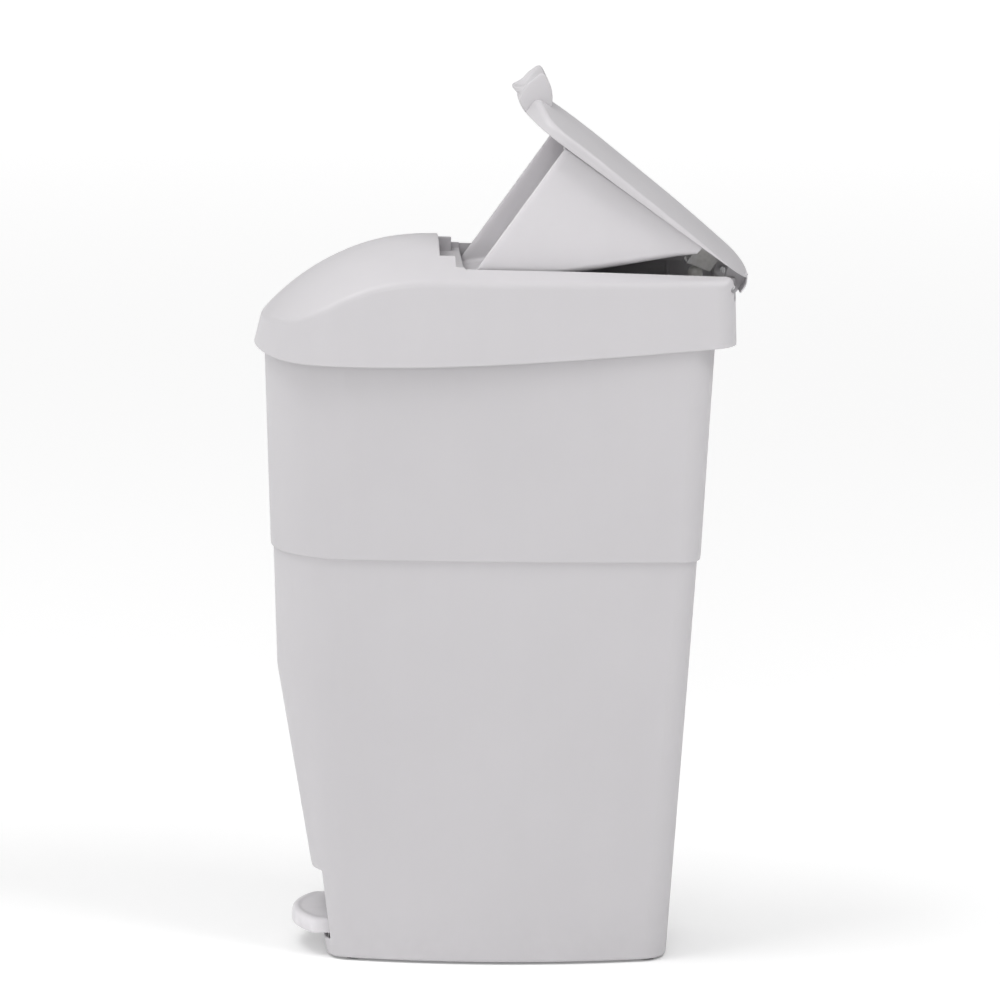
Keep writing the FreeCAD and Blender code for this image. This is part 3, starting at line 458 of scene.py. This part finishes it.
# ---------------------------------------------------------------- tipping tray
TRAY_HALF = 66 * MM
TRAY_TOP = 574 * MM
TRAY_FRONT = Vector((0, 7.5 * MM, 430 * MM))
TRAY_HEEL = Vector((0, 143 * MM, 566 * MM))
TRAY_WALL = 2.0 * MM
TRAY_FLANGE = 13 * MM
TRAY_BEND = 1.6 * MM                # radius between the flange and the wall
BEND_STEPS = 3
TRAY_CORNER = 9 * MM                # radius between the wall and the floor
CORNER_STEPS = 6
TRAY_STATIONS = 24
TRAY_EDGE = 0.5 * MM                # rounding of the tray's cut edges
SHARP_EDGE = math.radians(50)


def quarter_turn(centre, radius, start, steps, sign=1):
    """Points of a quarter circle in (across, up), from the angle start."""
    angles = [start + sign * math.pi / 2 * i / steps for i in range(steps + 1)]
    return [(centre[0] + radius * math.cos(a), centre[1] + radius * math.sin(a)) for a in angles]


def tray_section(floor_z):
    """Outer (x, z) line of the tray: flange, wall, floor, wall and flange."""
    corner = min(TRAY_CORNER, 0.45 * (TRAY_TOP - floor_z))
    bend = TRAY_BEND
    right = [(TRAY_HALF - TRAY_FLANGE, TRAY_TOP), (TRAY_HALF - 2 * bend, TRAY_TOP)]
    right += quarter_turn((TRAY_HALF - bend, TRAY_TOP - bend), bend, math.pi / 2, BEND_STEPS, -1)
    right += quarter_turn((TRAY_HALF - corner, floor_z + corner), corner, 0, CORNER_STEPS, -1)
    return right + [(-x, z) for x, z in reversed(right)]


def build_tray():
    """The open-fronted tipping tray, shallower towards its heel, in the lid's open place."""
    rows = []
    for i in range(TRAY_STATIONS + 1):
        centre = TRAY_FRONT.lerp(TRAY_HEEL, i / TRAY_STATIONS)
        rows.append([OPEN_LID @ Vector((x, centre.y, z)) for x, z in tray_section(centre.z)])
    mesh = sheet_of(rows)
    piece = add_piece("scoop_tray", mesh, "tray_plastic", "lid", "tip_tray")
    wall = piece.modifiers.new("wall", "SOLIDIFY")
    wall.thickness = TRAY_WALL
    wall.offset = -1
    rim = piece.modifiers.new("rim", "BEVEL")
    rim.width = TRAY_EDGE
    rim.segments = 2
    rim.limit_method = "ANGLE"
    rim.angle_limit = SHARP_EDGE


# ---------------------------------------------------------------- toe pad
PAD_LOW, PAD_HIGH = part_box("pedal_pad")
PAD_NOSE = 17 * MM                  # depth of the pad's curved front
NOSE_STEPS = 28
SIDE_STEPS = 5
REAR_STEPS = 8
PAD_PLATE_TOP = 23.6 * MM           # the lever's plate passes below here at the pad's rear
# Rings from the pocket under the pad, round its wall, over its lip and on to its dished top:
# distance in from the outline, and height above the pad's lower face, in mm.
PAD_RINGS = [(3.0, 3.6), (3.0, 3.5), (3.0, 0.1), (2.6, 0.0), (0.6, 0.0), (0.1, 0.5), (0.0, 1.4),
             (0.0, 7.2), (0.3, 9.3), (1.3, 11.0), (2.8, 11.8), (4.4, 12.0), (5.6, 11.9), (6.8, 11.5),
             (8.6, 11.2), (14.0, 11.3), (22.0, 11.5)]


def pad_ring(inset, height):
    """One ring of the pad: round nose, straight sides and a flat rear edge."""
    half = PAD_HIGH.x - inset
    tip = PAD_LOW.y + inset
    rear = PAD_HIGH.y - inset
    shoulder = tip + PAD_NOSE
    radius = (half * half + PAD_NOSE * PAD_NOSE) / (2 * PAD_NOSE)
    sweep = math.asin(half / radius)
    ring = []
    for i in range(NOSE_STEPS + 1):
        angle = -sweep + 2 * sweep * i / NOSE_STEPS
        ring.append(Vector((radius * math.sin(angle), tip + radius * (1 - math.cos(angle)), height)))
    for i in range(1, SIDE_STEPS + 1):
        ring.append(Vector((half, shoulder + (rear - shoulder) * i / SIDE_STEPS, height)))
    behind = max(height, PAD_PLATE_TOP)
    for i in range(1, REAR_STEPS):
        ring.append(Vector((half - 2 * half * i / REAR_STEPS, rear, behind)))
    for i in range(SIDE_STEPS):
        ring.append(Vector((-half, rear + (shoulder - rear) * i / SIDE_STEPS, height)))
    return ring


def build_toe_pad():
    """The toe pad: a dished top inside a rolled lip, and a shallow pocket underneath."""
    rows = [pad_ring(inset * MM, PAD_LOW.z + height * MM) for inset, height in PAD_RINGS]
    mesh = sheet_of(rows, True, True, True)
    piece = add_piece("toe_pad", mesh, "pedal_plastic", "pedal", "pedal_pad")
    subdivide(piece, 2)


add_camera()
add_studio()
add_floor()
for softbox in SOFTBOXES:
    add_area_light(*softbox)
finish_cad_nodes()
build_grip()
build_tray()
build_toe_pad()
